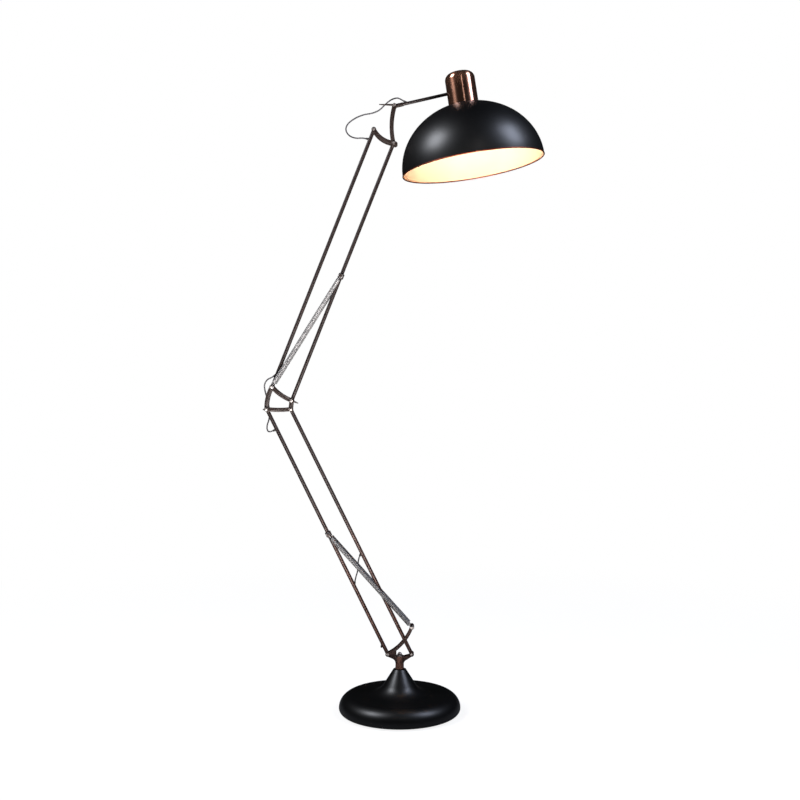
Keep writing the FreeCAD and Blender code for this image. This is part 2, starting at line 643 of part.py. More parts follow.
def elbow():
    left, right = ("0", "0"), ("pivot_gap", "0")
    high = ("elbow_step", "elbow_rise")
    far = (f"elbow_step + {top_step[0]}", f"elbow_rise + {top_step[1]}")
    bars = [(left, high, "elbow_bow"), (high, far, "-sag_bow"), (left, right, "-link_bow"), (right, far, "0")]
    bosses = [(spot, "boss_radius") for spot in (left, right, high, far)]
    plate_pair("elbow_plate", ELBOW, bars, bosses, [([left, right, high, far], "bolt_radius")])
    bolts = [clamp_bolt("elbow_bolt_left", left), pivot_bolt("elbow_bolt_right", right),
             pivot_bolt("elbow_bolt_high", high, "pin_reach"), clamp_bolt("elbow_bolt_far", far)]
    node(group("elbow_bolts", bolts), "elbow_bolts", ELBOW)
    # the spacers stand on the bowed middles of the two long bars
    chord = Vector(number(high[0]), number(high[1]), 0)
    outward = Vector(-chord.y, chord.x, 0).normalize()
    first = (f"elbow_step / 2 + elbow_bow * ({outward.x:.6f})",
             f"elbow_rise / 2 + elbow_bow * ({outward.y:.6f})")
    second = (f"elbow_step + {top_step[0]} / 2 - sag_bow * sin(skew_angle)",
              f"elbow_rise + ({top_step[1]}) / 2 - sag_bow * cos(skew_angle)")
    spacers = [spacer(f"elbow_spacer{index}", spot) for index, spot in enumerate((first, second), start=1)]
    node(group("elbow_spacers", spacers), "elbow_spacers", ELBOW)
    clamp("elbow_clamp_left", elbow_left, "left_lever", -95)
    clamp("elbow_clamp_right", upper_right_foot, "right_lever", 112)


def upper_arm():
    arm_tube("upper_left_tube", "upper_length", UPPER_LEFT, [UPPER_PORT, HEAD_PORT])
    arm_ends("upper_left_ends", "upper_length", UPPER_LEFT)
    glands = [gland("elbow_cord_gland", *UPPER_PORT), gland("head_cord_gland", *HEAD_PORT)]
    node(group("upper_left_glands", glands), "upper_left_glands", UPPER_LEFT)
    node(cylinder("upper_flex", "flex_radius", "head_gland_station - upper_gland_station",
                  (0, 0, "upper_gland_station")), "upper_flex", UPPER_LEFT)
    arm_tube("upper_right_tube", "upper_length", UPPER_RIGHT)
    arm_ends("upper_right_ends", "upper_length", UPPER_RIGHT)
    spring_anchor("upper_spring_anchor", UPPER_RIGHT)
    spring_pair("upper", UPPER_RIGHT.multVec(Vector(0, 0, number("anchor_station"))), upper_left_foot)


def head_bracket():
    left, right = ("0", "0"), top_step
    tilt = (f"{top_step[0]} + head_step", f"{top_step[1]} + head_rise")
    heel = (f"{top_step[0]} + heel_reach", f"{top_step[1]} - heel_reach / 2")
    bars = [(left, right, "-head_sag"), (right, tilt, "head_bow")]
    bosses = [(spot, "boss_radius") for spot in (left, right, tilt, heel)]
    plate_pair("head_bracket", HEAD_BRACKET, bars, bosses, [([left, right, tilt], "bolt_radius")])
    bolts = [pivot_bolt("head_bolt_left", left), pivot_bolt("head_bolt_right", right),
             clamp_bolt("head_bolt_tilt", tilt)]
    node(group("head_bracket_bolts", bolts), "head_bracket_bolts", HEAD_BRACKET)
    middle = (f"{top_step[0]} / 2 - head_sag * sin(skew_angle)",
              f"({top_step[1]}) / 2 - head_sag * cos(skew_angle)")
    node(spacer("head_bracket_spacer", middle), "head_bracket_spacer", HEAD_BRACKET)
    clamp("head_clamp", tilt_point, "head_lever", -88)


# ---- head: stem, cap, shade and lampholder -------------------------------------------------------


def head():
    width = "2 * (plate_inner - knuckle_gap)"
    drum_foot = (0, "knuckle_gap - plate_inner", 0)
    drum = cylinder("stem_drum", "knuckle_radius", width, drum_foot, ALONG_Y)
    socket = cylinder("stem_socket", "socket_radius", "socket_length")
    bore = cylinder("stem_drum_bore", "bolt_radius + bolt_clearance", width, drum_foot, ALONG_Y)
    seat = cylinder("stem_seat", "stem_radius", "socket_length", (0, 0, "neck_length"))
    cuts = group("stem_knuckle_cuts", [bore, seat])
    node(less("stem_knuckle", fused("stem_knuckle_blank", drum, socket), cuts), "stem_knuckle", STEM)
    stem_length = "stem_reach - cap_radius + stem_inside - neck_length"
    stem = pipe("stem_wall", "stem_radius", "stem_radius - tube_wall", stem_length, (0, 0, "neck_length"))
    drill = cylinder("stem_port", "flex_radius", "gland_length", (0, 0, STEM_PORT[0]), lean(STEM_PORT[1]))
    node(less("head_stem", stem, drill), "head_stem", STEM)
    node(gland("stem_gland", *STEM_PORT, "stem_radius"), "stem_gland", STEM)

    # the stem comes in through the side of the cap, at its own small angle to the shade's rim
    entry_turn = lean(90 - number("stem_rise") + number("shade_tilt"))
    entry = ("0", "0", "cap_entry")
    approach = -entry_turn.multVec(Vector(0, 0, number("cap_radius + lock_nut_height")))
    entry_foot = [f"{part:.4f}" for part in spot_of(entry) + approach]
    cap = turned("cap_blank", [
        ("cap_radius", "crown_height"),
        ("cap_radius", "cap_height - cap_corner"),
        ("cap_radius - cap_corner", "cap_height", "cap_corner", -1),
        (0, "cap_height"),
        (0, "cap_height - cap_wall"),
        ("cap_radius - cap_corner", "cap_height - cap_wall"),
        ("cap_radius - cap_wall", "cap_height - cap_corner", "cap_corner - cap_wall", 1),
        ("cap_radius - cap_wall", "crown_height"),
    ])
    hole = cylinder("cap_entry_hole", "stem_radius", "cap_radius", entry_foot, entry_turn)
    node(less("copper_cap", cap, hole), "copper_cap", SHADE)

    node(shade(), "shade", SHADE)
    lampholder(entry_foot, entry_turn)


def lampholder(entry_foot, entry_turn):
    """The E27 lampholder that clamps the shade, and the strap that hangs it on the stem."""
    crown_inside = "crown_height - shade_wall"
    seat_top = "crown_height + ring_height"
    bore = "thread_radius + thread_wall"
    pocket_top = "holder_low + thread_length + 4"
    node(turned("holder_body", [
        (bore, "holder_low"),
        ("holder_radius", "holder_low"),
        ("holder_radius", f"{crown_inside} - flange_height"),
        ("flange_radius", f"{crown_inside} - flange_height"),
        ("flange_radius", crown_inside),
        ("holder_radius", crown_inside),
        ("holder_radius", seat_top),
        ("0.6 * holder_radius", seat_top),
        ("0.6 * holder_radius", f"{seat_top} + holder_neck"),
        (0, f"{seat_top} + holder_neck"),
        (0, pocket_top),
        (bore, pocket_top),
    ]), "holder_body", SHADE)
    thread = pipe("holder_thread", bore, "thread_radius", "thread_length", (0, 0, "holder_low"))
    button = cylinder("holder_button", "contact_radius", 2, (0, 0, f"{pocket_top} - 2"))
    node(group("holder_contacts", [thread, button]), "holder_contacts", SHADE)
    node(pipe("shade_ring", "flange_radius + 2", "holder_radius", "ring_height", (0, 0, "crown_height")),
         "shade_ring", SHADE)

    strap_foot = f"{seat_top} + holder_neck"
    upright_x = "-0.73 * cap_radius"
    leg = bind(doc.addObject("Part::Box", "strap_leg"), Length=f"0.73 * cap_radius + 0.5 * holder_radius",
               Width="0.9 * holder_radius", Height="bracket_gauge")
    leg.Placement = Placement(spot_of((upright_x, "-0.45 * holder_radius", strap_foot)), Rotation())
    upright = bind(doc.addObject("Part::Box", "strap_upright"), Length="bracket_gauge",
                   Width="0.9 * holder_radius", Height=f"cap_entry + 2.2 * stem_radius - ({strap_foot})")
    upright.Placement = leg.Placement
    hole = cylinder("strap_hole", "stem_radius", "cap_radius", entry_foot, entry_turn)
    node(less("holder_strap", fused("strap_blank", leg, upright), hole), "holder_strap", SHADE)

    nuts = []
    for name, station in (
        ("inner", "stem_reach - cap_radius + cap_wall + 1.6"),
        ("outer", "stem_reach - 0.73 * cap_radius + bracket_gauge + 0.8"),
    ):
        blank = hexagon(f"cap_{name}_nut_blank", "lock_nut_radius", "lock_nut_height", (0, 0, station))
        drill = cylinder(f"cap_{name}_nut_bore", "stem_radius", "lock_nut_height", (0, 0, station))
        nuts.append(less(f"cap_{name}_nut", blank, drill))
    node(group("cap_lock_nuts", nuts), "cap_lock_nuts", STEM)


def shade():
    """A spun dome: half an ellipse cut off by a flat crown, with a rolled bead round its rim."""
    radius, depth, wall = (number(name) for name in ("shade_radius", "shade_depth", "shade_wall"))
    crown, hole, bead = (number(name) for name in ("crown_height", "holder_radius", "bead_radius"))

    def dome(across, up, top):
        """The ellipse arc from the rim to the flat crown, at a height of top."""
        crown_across = across * math.sqrt(1 - (top / up) ** 2)
        ellipse = Part.Ellipse(Vector(across, 0, 0), Vector(0, 0, up), Vector(0, 0, 0))
        ends = [ellipse.parameter(Vector(across, 0, 0)), ellipse.parameter(Vector(crown_across, 0, top))]
        return Part.ArcOfEllipse(ellipse, *sorted(ends)).toShape(), Vector(crown_across, 0, top)

    outside, outer_crown = dome(radius, depth, crown)
    inside, inner_crown = dome(radius - wall, depth - wall, crown - wall)
    walls = [
        outside,
        Part.LineSegment(outer_crown, Vector(hole, 0, crown)).toShape(),
        Part.LineSegment(Vector(hole, 0, crown), Vector(hole, 0, crown - wall)).toShape(),
        Part.LineSegment(Vector(hole, 0, crown - wall), inner_crown).toShape(),
        inside,
        Part.LineSegment(Vector(radius - wall, 0, 0), Vector(radius, 0, 0)).toShape(),
    ]
    profile = Part.Face(Part.Wire(Part.__sortEdges__(walls)))
    skin = profile.revolve(Vector(0, 0, 0), Vector(0, 0, 1), 360)
    rolled = Part.makeTorus(radius - wall / 2, bead, Vector(0, 0, 0), Vector(0, 0, 1))
    piece = doc.addObject("Part::Feature", "shade")
    piece.Shape = skin.fuse(rolled)
    return piece


# ---- cords: thin flex that crosses the joints outside the tubes ----------------------------------


def mouth(frame, port, reach="gland_length"):
    """A point on the axis of a gland, as far from the tube's middle as reach."""
    station, angle = port
    out = lean(angle).multVec(Vector(0, 0, number(reach)))
    return frame.multVec(Vector(0, 0, number(station)) + out)


def cord_path(points):
    """Straight runs joined by tangent arcs. Gives one list of edges for each run and the arc after it."""
    stages, start = [], points[0]
    radii = []
    for before, corner, after in zip(points, points[1:], points[2:]):
        come, leave = (corner - before), (after - corner)
        shorter = min(come.Length, leave.Length)
        half_turn = come.getAngle(leave) / 2
        trim = 0.45 * shorter
        radii.append(trim / math.tan(half_turn))
        first = corner - Vector(come).normalize() * trim
        last = corner + Vector(leave).normalize() * trim
        inward = (Vector(leave).normalize() - Vector(come).normalize()).normalize()
        middle = corner + inward * (radii[-1] / math.cos(half_turn) - radii[-1])
        stages.append([Part.LineSegment(start, first).toShape(), Part.Arc(first, middle, last).toShape()])
        start = last
    stages.append([Part.LineSegment(start, points[-1]).toShape()])
    return stages, radii


def cord_tube(name, edges):
    """A round tube along the edges, checked against its section times its length."""
    path = Part.Wire(edges)
    first = path.Edges[0]
    start, way = first.valueAt(first.FirstParameter), first.tangentAt(first.FirstParameter)
    section = Part.Wire(Part.makeCircle(number("cord_radius"), start, way))
    tube = path.makePipeShell([section], True, True)
    wanted = math.pi * number("cord_radius") ** 2 * path.Length
    if abs(tube.Volume / wanted - 1) > 0.01:
        raise RuntimeError(f"{name} has lost its section")
    piece = doc.addObject("Part::Feature", name)
    piece.Shape = tube
    node(piece, name)
    return path.Length


def cord(names, points, split=None):
    """A cord along hand-set points, as one tube or as two that meet in the middle of run split."""
    stages, radii = cord_path(points)
    lengths = []
    if split is None:
        lengths.append(cord_tube(names[0], [edge for stage in stages for edge in stage]))
    else:
        run = stages[split][0]
        ends = [run.valueAt(run.FirstParameter), run.valueAt(run.LastParameter)]
        middle = (ends[0] + ends[1]) / 2
        lower = [edge for stage in stages[:split] for edge in stage]
        lower += [Part.LineSegment(ends[0], middle).toShape()]
        upper = [Part.LineSegment(middle, ends[1]).toShape()] + stages[split][1:]
        upper += [edge for stage in stages[split + 1:] for edge in stage]
        lengths += [cord_tube(names[0], lower), cord_tube(names[1], upper)]
    print(names, "lengths", [round(length, 1) for length in lengths], "tightest", round(min(radii), 1))


def cords():
    cord(["crossover_lead"], [
        mouth(LOWER_LEFT, CROSS_PORT), mouth(LOWER_LEFT, CROSS_PORT, "gland_length + 12"),
        Vector(-118.5, 0, 391), Vector(-115.5, 0, 405),
        mouth(LOWER_RIGHT, CROSS_FAR_PORT, "gland_length + 12"), mouth(LOWER_RIGHT, CROSS_FAR_PORT),
    ])
    cord(["elbow_loop_lower", "elbow_loop_upper"], [
        mouth(LOWER_LEFT, LOWER_PORT), mouth(LOWER_LEFT, LOWER_PORT, "gland_length + 9"),
        Vector(-371, 3, 787), Vector(-373, 7, 801), Vector(-366, 12, 821), Vector(-367, 17, 850),
        Vector(-372, 17.5, 874), Vector(-379, 15, 898), Vector(-381, 11, 916), Vector(-372, 5, 931),
        mouth(UPPER_LEFT, UPPER_PORT, "gland_length + 9"), mouth(UPPER_LEFT, UPPER_PORT),
    ], split=5)
    cord(["head_loop_lower", "head_loop_upper"], [
        mouth(UPPER_LEFT, HEAD_PORT), mouth(UPPER_LEFT, HEAD_PORT, "gland_length + 10"),
        Vector(-122, 3, 1606.5), Vector(-142, 6, 1614), Vector(-153, 8, 1632), Vector(-146, 8, 1650),
        Vector(-125, 8, 1665), Vector(-101, 8, 1675), Vector(-77, 8, 1678), Vector(-56, 8, 1687),
        Vector(-41, 8, 1703), Vector(-24, 5, 1716.5), Vector(-7, 3, 1721),
        mouth(STEM, STEM_PORT, "gland_length + 10"), mouth(STEM, STEM_PORT),
    ], split=7)


for build in (floor_base, swivel, lower_arm, elbow, upper_arm, head_bracket, head, cords):
    build()
doc.recompute()

faults = [item.Name for item in doc.Objects if {"Invalid", "Error"} & set(item.State)]
faults += [item.Label for item in nodes
           if item.Shape.isNull() or not item.Shape.isValid() or not item.Shape.Solids]
if faults:
    raise RuntimeError("failed: " + ", ".join(faults))
os.makedirs("parts", exist_ok=True)
for item in nodes:
    item.Shape.exportStep(f"parts/{item.Label}.step")
print(len(nodes), "nodes")
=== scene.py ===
"""The looks of an adjustable arm floor lamp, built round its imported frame. Lengths are in metres, except
where a name or a note says millimetres."""

import json
import math

import bmesh
import bpy
from mathutils import Matrix, Vector
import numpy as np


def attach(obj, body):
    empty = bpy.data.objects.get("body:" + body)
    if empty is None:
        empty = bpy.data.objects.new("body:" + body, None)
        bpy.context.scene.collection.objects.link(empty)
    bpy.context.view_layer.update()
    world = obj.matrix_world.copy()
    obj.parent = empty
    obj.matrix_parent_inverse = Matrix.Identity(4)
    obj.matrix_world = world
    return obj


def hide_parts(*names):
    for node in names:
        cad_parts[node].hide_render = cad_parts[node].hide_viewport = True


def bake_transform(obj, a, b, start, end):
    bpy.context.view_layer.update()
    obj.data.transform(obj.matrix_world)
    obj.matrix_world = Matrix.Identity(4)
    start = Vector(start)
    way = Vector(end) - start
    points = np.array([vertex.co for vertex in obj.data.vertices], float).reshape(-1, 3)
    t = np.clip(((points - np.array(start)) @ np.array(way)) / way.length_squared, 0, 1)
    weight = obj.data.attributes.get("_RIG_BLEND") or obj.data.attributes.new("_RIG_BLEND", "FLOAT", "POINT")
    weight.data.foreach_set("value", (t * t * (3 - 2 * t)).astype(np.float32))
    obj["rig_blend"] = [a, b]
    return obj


MM = 0.001

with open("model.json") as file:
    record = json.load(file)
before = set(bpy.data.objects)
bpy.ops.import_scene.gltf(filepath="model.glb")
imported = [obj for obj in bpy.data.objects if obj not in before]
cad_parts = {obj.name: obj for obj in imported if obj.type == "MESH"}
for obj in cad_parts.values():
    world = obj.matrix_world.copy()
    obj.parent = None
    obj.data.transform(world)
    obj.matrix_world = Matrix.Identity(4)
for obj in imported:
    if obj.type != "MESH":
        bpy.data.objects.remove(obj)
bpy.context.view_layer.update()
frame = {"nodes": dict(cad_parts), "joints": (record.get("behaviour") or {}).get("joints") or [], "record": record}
RECORD = frame["record"]
NODES = frame["nodes"]
BODY_OF = {node: body for body, held in RECORD["behaviour"]["bodies"].items() for node in held}
SLOT_OF = {part["node"]: part["material_slot"] for part in RECORD["subparts"]}
PIVOT = {joint["name"]: Vector(joint["pos_m"]) for joint in frame["joints"] if joint.get("pos_m")}


# ---- surfaces ------------------------------------------------------------------------------------


class Number:
    """A value that changes over a surface. Python's operators add the Math nodes."""

    def __init__(self, finish, socket):
        self.finish, self.socket = finish, socket

    def maths(self, operation, *others):
        return self.finish.add("ShaderNodeMath", {"operation": operation}, (self, *others))

    def __add__(self, other):
        return self.maths("ADD", other)

    def __mul__(self, other):
        return self.maths("MULTIPLY", other)

    def __sub__(self, other):
        return self.maths("SUBTRACT", other)

    def __rsub__(self, other):
        return self.finish.add("ShaderNodeMath", {"operation": "SUBTRACT"}, (other, self))

    __radd__ = __add__
    __rmul__ = __mul__

    def ramp(self, low, high):
        """0 below low, 1 above high, smooth between them."""
        settings = {"interpolation_type": "SMOOTHSTEP"}
        inputs = {"Value": self, "From Min": low, "From Max": high}
        return self.finish.add("ShaderNodeMapRange", settings, inputs)


class Finish:
    """A material and its graph."""

    def __init__(self, name, **fixed):
        self.material = bpy.data.materials.new(name)
        self.material.use_nodes = True
        self.tree = self.material.node_tree
        self.tree.nodes.clear()
        output = self.tree.nodes.new("ShaderNodeOutputMaterial")
        self.shader = self.tree.nodes.new("ShaderNodeBsdfPrincipled")
        self.tree.links.new(self.shader.outputs[0], output.inputs["Surface"])
        self.place = self.add("ShaderNodeTexCoord", out="Object")
        for socket, value in fixed.items():
            self.set(socket.replace("_", " ").title().replace("Ior", "IOR"), value)

    def add(self, kind, settings=None, inputs=(), out=0):
        """Any node: its settings first, then the values or links of its sockets, by name or in order."""
        node = self.tree.nodes.new(kind)
        for key, value in (settings or {}).items():
            setattr(node, key, value)
        pairs = inputs.items() if isinstance(inputs, dict) else enumerate(inputs)
        for key, value in pairs:
            self.plug(node.inputs[key], value)
        return Number(self, node.outputs[out])

    def plug(self, socket, value):
        if isinstance(value, Number):
            self.tree.links.new(value.socket, socket)
        elif getattr(socket, "type", "") == "RGBA" and len(value) == 3:
            socket.default_value = (*value, 1)
        else:
            socket.default_value = value

    def set(self, socket, value):
        self.plug(self.shader.inputs[socket], value)

    def noise(self, scale, detail=3.0, roughness=0.5, at=None):
        inputs = {"Vector": at or self.place, "Scale": scale, "Detail": detail, "Roughness": roughness}
        return self.add("ShaderNodeTexNoise", {}, inputs)

    def stretched(self, at, factors):
        return self.add("ShaderNodeVectorMath", {"operation": "MULTIPLY"}, (at, factors))

    def mix(self, factor, first, second):
        """Colour first where factor is 0, second where it is 1."""
        node = self.tree.nodes.new("ShaderNodeMix")
        node.data_type = "RGBA"
        for socket, value in ((0, factor), (6, first), (7, second)):
            self.plug(node.inputs[socket], value)
        return Number(self, node.outputs[2])

    def bump(self, height, distance, strength=1.0):
        """Relief in metres."""
        inputs = {"Height": height, "Distance": distance, "Strength": strength}
        self.set("Normal", self.add("ShaderNodeBump", {}, inputs))

    def seen_from(self, placing):
        """Coordinates in a piece's own frame."""
        settings = {"vector_type": "TEXTURE"}
        inputs = {"Vector": self.place, "Location": placing.to_translation(), "Rotation": placing.to_euler()}
        return self.add("ShaderNodeMapping", settings, inputs)


def satin_enamel():
    """Powder coat: near black, a fine pebbled skin, and a little dust that dulls it."""
    coat = Finish("satin_enamel", ior=1.5, specular_ior_level=0.5)
    cloud = coat.noise(9, 4)
    pebble = coat.noise(1400, 2)
    dust = coat.noise(60, 6, 0.7).ramp(0.55, 0.8)
    coat.set("Base Color", coat.mix(dust * 0.5, (0.0008, 0.0008, 0.0010), (0.0026, 0.0025, 0.0028)))
    coat.set("Roughness", 0.36 + cloud * 0.06 + dust * 0.05)
    coat.bump(pebble, 0.00002, 0.35)
    return coat


def peach_lining():
    """The matte paint inside the shade, a little uneven where it was sprayed."""
    paint = Finish("peach_lining", ior=1.4, specular_ior_level=0.25)
    cloud = paint.noise(7, 3)
    grain = paint.noise(900, 2)
    paint.set("Base Color", paint.mix(cloud.ramp(0.3, 0.7), (0.80, 0.53, 0.33), (0.85, 0.58, 0.38)))
    paint.set("Roughness", 0.58 + grain * 0.12)
    paint.bump(grain, 0.00003, 0.4)
    return paint


def brushed_copper(placing):
    """Copper plate, turned and brushed round its axis, with a clear lacquer."""
    copper = Finish("brushed_copper", anisotropic=0.85, anisotropic_rotation=0.25, coat_roughness=0.12,
                    coat_ior=1.5)
    own = copper.seen_from(placing)
    rings = copper.noise(1, 4, 0.6, copper.stretched(own, (40, 40, 3200)))
    bands = copper.noise(1, 3, 0.5, copper.stretched(own, (16, 16, 420)))
    tarnish = copper.noise(28, 5, 0.6)
    base = copper.mix(tarnish.ramp(0.35, 0.75), (0.46, 0.22, 0.14), (0.36, 0.155, 0.09))
    copper.set("Base Color", copper.mix(rings.ramp(0.5, 0.8) * 0.4, base, (0.58, 0.34, 0.24)))
    copper.set("Metallic", 0.9)
    copper.set("Roughness", 0.16 + rings * 0.10 + bands * 0.05)
    copper.set("Coat Weight", 0.9)
    copper.bump(rings, 0.000008, 0.6)
    return copper


def rim_copper():
    edge = Finish("rim_copper", metallic=1.0)
    wear = edge.noise(180, 4, 0.6)
    edge.set("Base Color", edge.mix(wear.ramp(0.4, 0.7), (0.20, 0.052, 0.030), (0.12, 0.030, 0.020)))
    edge.set("Roughness", 0.34 + wear * 0.14)
    edge.bump(wear, 0.00001, 0.5)
    return edge


def oiled_bronze(name, dark, light, rough):
    """Dark oil-rubbed bronze: brown patches of uneven patina, and painted light that makes it lighter towards the
    foot.
    """
    bronze = Finish(name)
    patina = bronze.noise(70, 5, 0.55)
    drift = bronze.noise(9, 3)
    height = bronze.add("ShaderNodeSeparateXYZ", {}, (bronze.place,), out=2)
    # Random patina patches, plus painted light: the height term makes the bronze lighter, more metallic and
    # smoother towards the foot.
    patina_and_painted_foot_light = (patina * 0.35 + drift * 0.35 + (1 - height.ramp(0.2, 0.75)) * 0.35).ramp(0.35, 0.9)
    bronze.set("Base Color", bronze.mix(patina_and_painted_foot_light, dark, light))
    bronze.set("Metallic", 0.35 + patina_and_painted_foot_light * 0.15)
    bronze.set("Roughness", rough + 0.04 + patina * 0.08 - patina_and_painted_foot_light * 0.04)
    bronze.bump(bronze.noise(300, 2), 0.000006, 0.15)
    return bronze


def aged_copper():
    """The swivel neck's copper, browned and dull."""
    copper = Finish("aged_copper")
    patina = copper.noise(230, 6, 0.7)
    turned = copper.noise(1, 3, 0.6, copper.stretched(copper.place, (60, 60, 1500)))
    copper.set("Base Color", copper.mix(patina.ramp(0.35, 0.7), (0.16, 0.072, 0.050), (0.26, 0.125, 0.090)))
    copper.set("Metallic", 0.5)
    copper.set("Roughness", 0.42 + patina * 0.14)
    copper.bump(turned, 0.00001, 0.5)
    return copper


def steel(name, colour, rough, grain, metallic=1.0):
    """Plated or drawn steel, with its fine grain and a few dull spots."""
    metal = Finish(name, metallic=metallic)
    spots = metal.noise(260, 5, 0.65)
    dull = spots.ramp(0.5, 0.75)
    darker = tuple(part * 0.62 for part in colour)
    metal.set("Base Color", metal.mix(dull, colour, darker))
    metal.set("Roughness", rough + dull * 0.16 + metal.noise(grain, 2) * 0.06)
    metal.bump(metal.noise(grain, 3), 0.000006, 0.5)
    return metal


def dull(name, dark, light, rough, scale, relief=0.00002):
    """Rubber, plastic, felt or raw iron: two close shades and a grain of its own size."""
    stuff = Finish(name, specular_ior_level=0.4)
    grain = stuff.noise(scale, 4, 0.6)
    cloud = stuff.noise(scale / 14, 3)
    stuff.set("Base Color", stuff.mix((grain * 0.5 + cloud * 0.5).ramp(0.35, 0.65), dark, light))
    stuff.set("Roughness", rough - 0.05 + grain * 0.12)
    stuff.bump(grain, relief, 0.6)
    return stuff


# ---- mesh tools ----------------------------------------------------------------------------------


def stand(at, lean=0.0):
    """A frame at a point, whose Z leans towards +X by an angle in degrees."""
    return Matrix.Translation(at) @ Matrix.Rotation(math.radians(lean), 4, "Y")


ALONG_Y = Matrix.Rotation(math.radians(-90), 4, "X")


def arc(across, up, radius, start, end, steps=8):
    """Points of an arc about (across, up), with angles in degrees from the first axis."""
    turns = (math.radians(start + (end - start) * step / steps) for step in range(steps + 1))
    return [(across + radius * math.cos(turn), up + radius * math.sin(turn)) for turn in turns]


def rounded(points, steps=4):
    """An outline of (across, up) or (across, up, fillet) points with its corners filleted."""
    made = []
    for index, point in enumerate(points):
        if len(point) == 2:
            made.append(point)
            continue
        corner = Vector(point[:2])
        before = Vector(points[index - 1][:2]) - corner
        after = Vector(points[(index + 1) % len(points)][:2]) - corner
        half = before.angle(after) / 2
        cut = min(point[2] / math.tan(half), 0.49 * min(before.length, after.length))
        radius = cut * math.tan(half)
        first, last = corner + before.normalized() * cut, corner + after.normalized() * cut
        centre = corner + (before.normalized() + after.normalized()).normalized() * (radius / math.sin(half))
        start, sweep = first - centre, (first - centre).angle_signed(last - centre)
        for step in range(steps + 1):
            turn = Matrix.Rotation(-sweep * step / steps, 2)
            made.append(tuple(centre + turn @ start))
    return made


def finish_mesh(name, made, finishes, sharp=35.0):
    """An object at the origin from a bmesh, smooth except at edges sharper than an angle."""
    for face in made.faces:
        face.smooth = True
    for edge in made.edges:
        edge.smooth = edge.is_manifold and edge.calc_face_angle(0) < math.radians(sharp)
    data = bpy.data.meshes.new(name)
    made.to_mesh(data)
    made.free()
    for finish in finishes:
        data.materials.append(finish)
    thing = bpy.data.objects.new(name, data)
    bpy.context.scene.collection.objects.link(thing)
    return thing


def turn_outline(made, profile, steps, place=Matrix()):
    """Spin an outline of (radius, height) points, in millimetres, about Z and stand it in its place."""
    before = set(made.verts)
    spots = [made.verts.new((across * MM, 0, up * MM)) for across, up in profile]
    on_axis = profile[0][0] == 0 and profile[-1][0] == 0
    pairs = list(zip(spots, spots[1:])) + ([] if on_axis else [(spots[-1], spots[0])])
    edges = [made.edges.new(pair) for pair in pairs]
    bmesh.ops.spin(made, geom=spots + edges, cent=(0, 0, 0), axis=(0, 0, 1), angle=math.tau, steps=steps,
                   use_merge=True)
    fresh = [vert for vert in made.verts if vert not in before]
    bmesh.ops.remove_doubles(made, verts=fresh, dist=1e-6)
    fresh = [vert for vert in made.verts if vert not in before]
    faces = list({face for vert in fresh for face in vert.link_faces})
    bmesh.ops.recalc_face_normals(made, faces=faces)
    bmesh.ops.transform(made, matrix=place, verts=fresh)


def softened(name, node, width, finishes):
    """A copy of a CAD piece with its sharp edges rounded by a width in millimetres."""
    made = bmesh.new()
    made.from_mesh(NODES[node].data)
    bmesh.ops.remove_doubles(made, verts=made.verts, dist=2e-6)
    bmesh.ops.dissolve_degenerate(made, edges=made.edges, dist=1e-6)
    bmesh.ops.dissolve_limit(made, angle_limit=math.radians(0.6), verts=made.verts, edges=made.edges)
    sharp = [edge for edge in made.edges if edge.is_manifold and edge.calc_face_angle(0) > math.radians(33)]
    bmesh.ops.bevel(made, geom=sharp, offset=width * MM, offset_type="OFFSET", segments=2, profile=0.5,
                    affect="EDGES", material=-1, clamp_overlap=True)
    return finish_mesh(name, made, finishes, 30.0)


def stands_for(piece, *nodes):
    """The piece rides where its CAD nodes ride, and they aren't shown."""
    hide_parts(*nodes)
    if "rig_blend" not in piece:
        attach(piece, BODY_OF[nodes[0]])
    return piece


# ---- driving sizes, in millimetres unless they are angles ----------------------------------------

LOWER_LEAN, UPPER_LEAN = -26.3, 21.6
STEM_LEAN = 90 - 12.9
SHADE_LEAN = -8.8
STEM_REACH = 193.0
CAP_ENTRY = 213.5
SHADE_RADIUS, SHADE_DEPTH, SHADE_WALL, CROWN = 200.0, 177.5, 1.5, 172.5
CORD_RADIUS = 2.0 * MM
GLAND_LENGTH = 12.0
HOOK_LENGTH, HOOK_EYE, SPRING_OFFSET, ANCHOR = 12.0, 5.2, 14.5, 374.0
LEVER_END = Vector((34.3, 0, 239.5)) * MM
NECK_TOP, NECK_FLOOR, STUD_BORE = 121.0, 114.0, 4.1
BASE_WALL, LIP_BORE, LIP_FOOT = 3.0, 150.0, 2.0
BEAD, BEAD_TOP, CROWN_BORE = 1.8, 1.64, 20.0
RIB_START, RIB_PITCH = 5.2, 1.35

LOWER_LEFT = stand(PIVOT["lower_arm"], LOWER_LEAN)
LOWER_RIGHT = stand(PIVOT["lower_right_turn"], LOWER_LEAN)
UPPER_LEFT = stand(PIVOT["upper_arm"], UPPER_LEAN)
UPPER_RIGHT = stand(PIVOT["upper_right_turn"], UPPER_LEAN)
STEM = stand(PIVOT["head_tilt"], STEM_LEAN)
CAP_MIDDLE = STEM @ Vector((0, 0, STEM_REACH * MM))
SHADE = stand(CAP_MIDDLE, SHADE_LEAN) @ Matrix.Translation((0, 0, -CAP_ENTRY * MM))

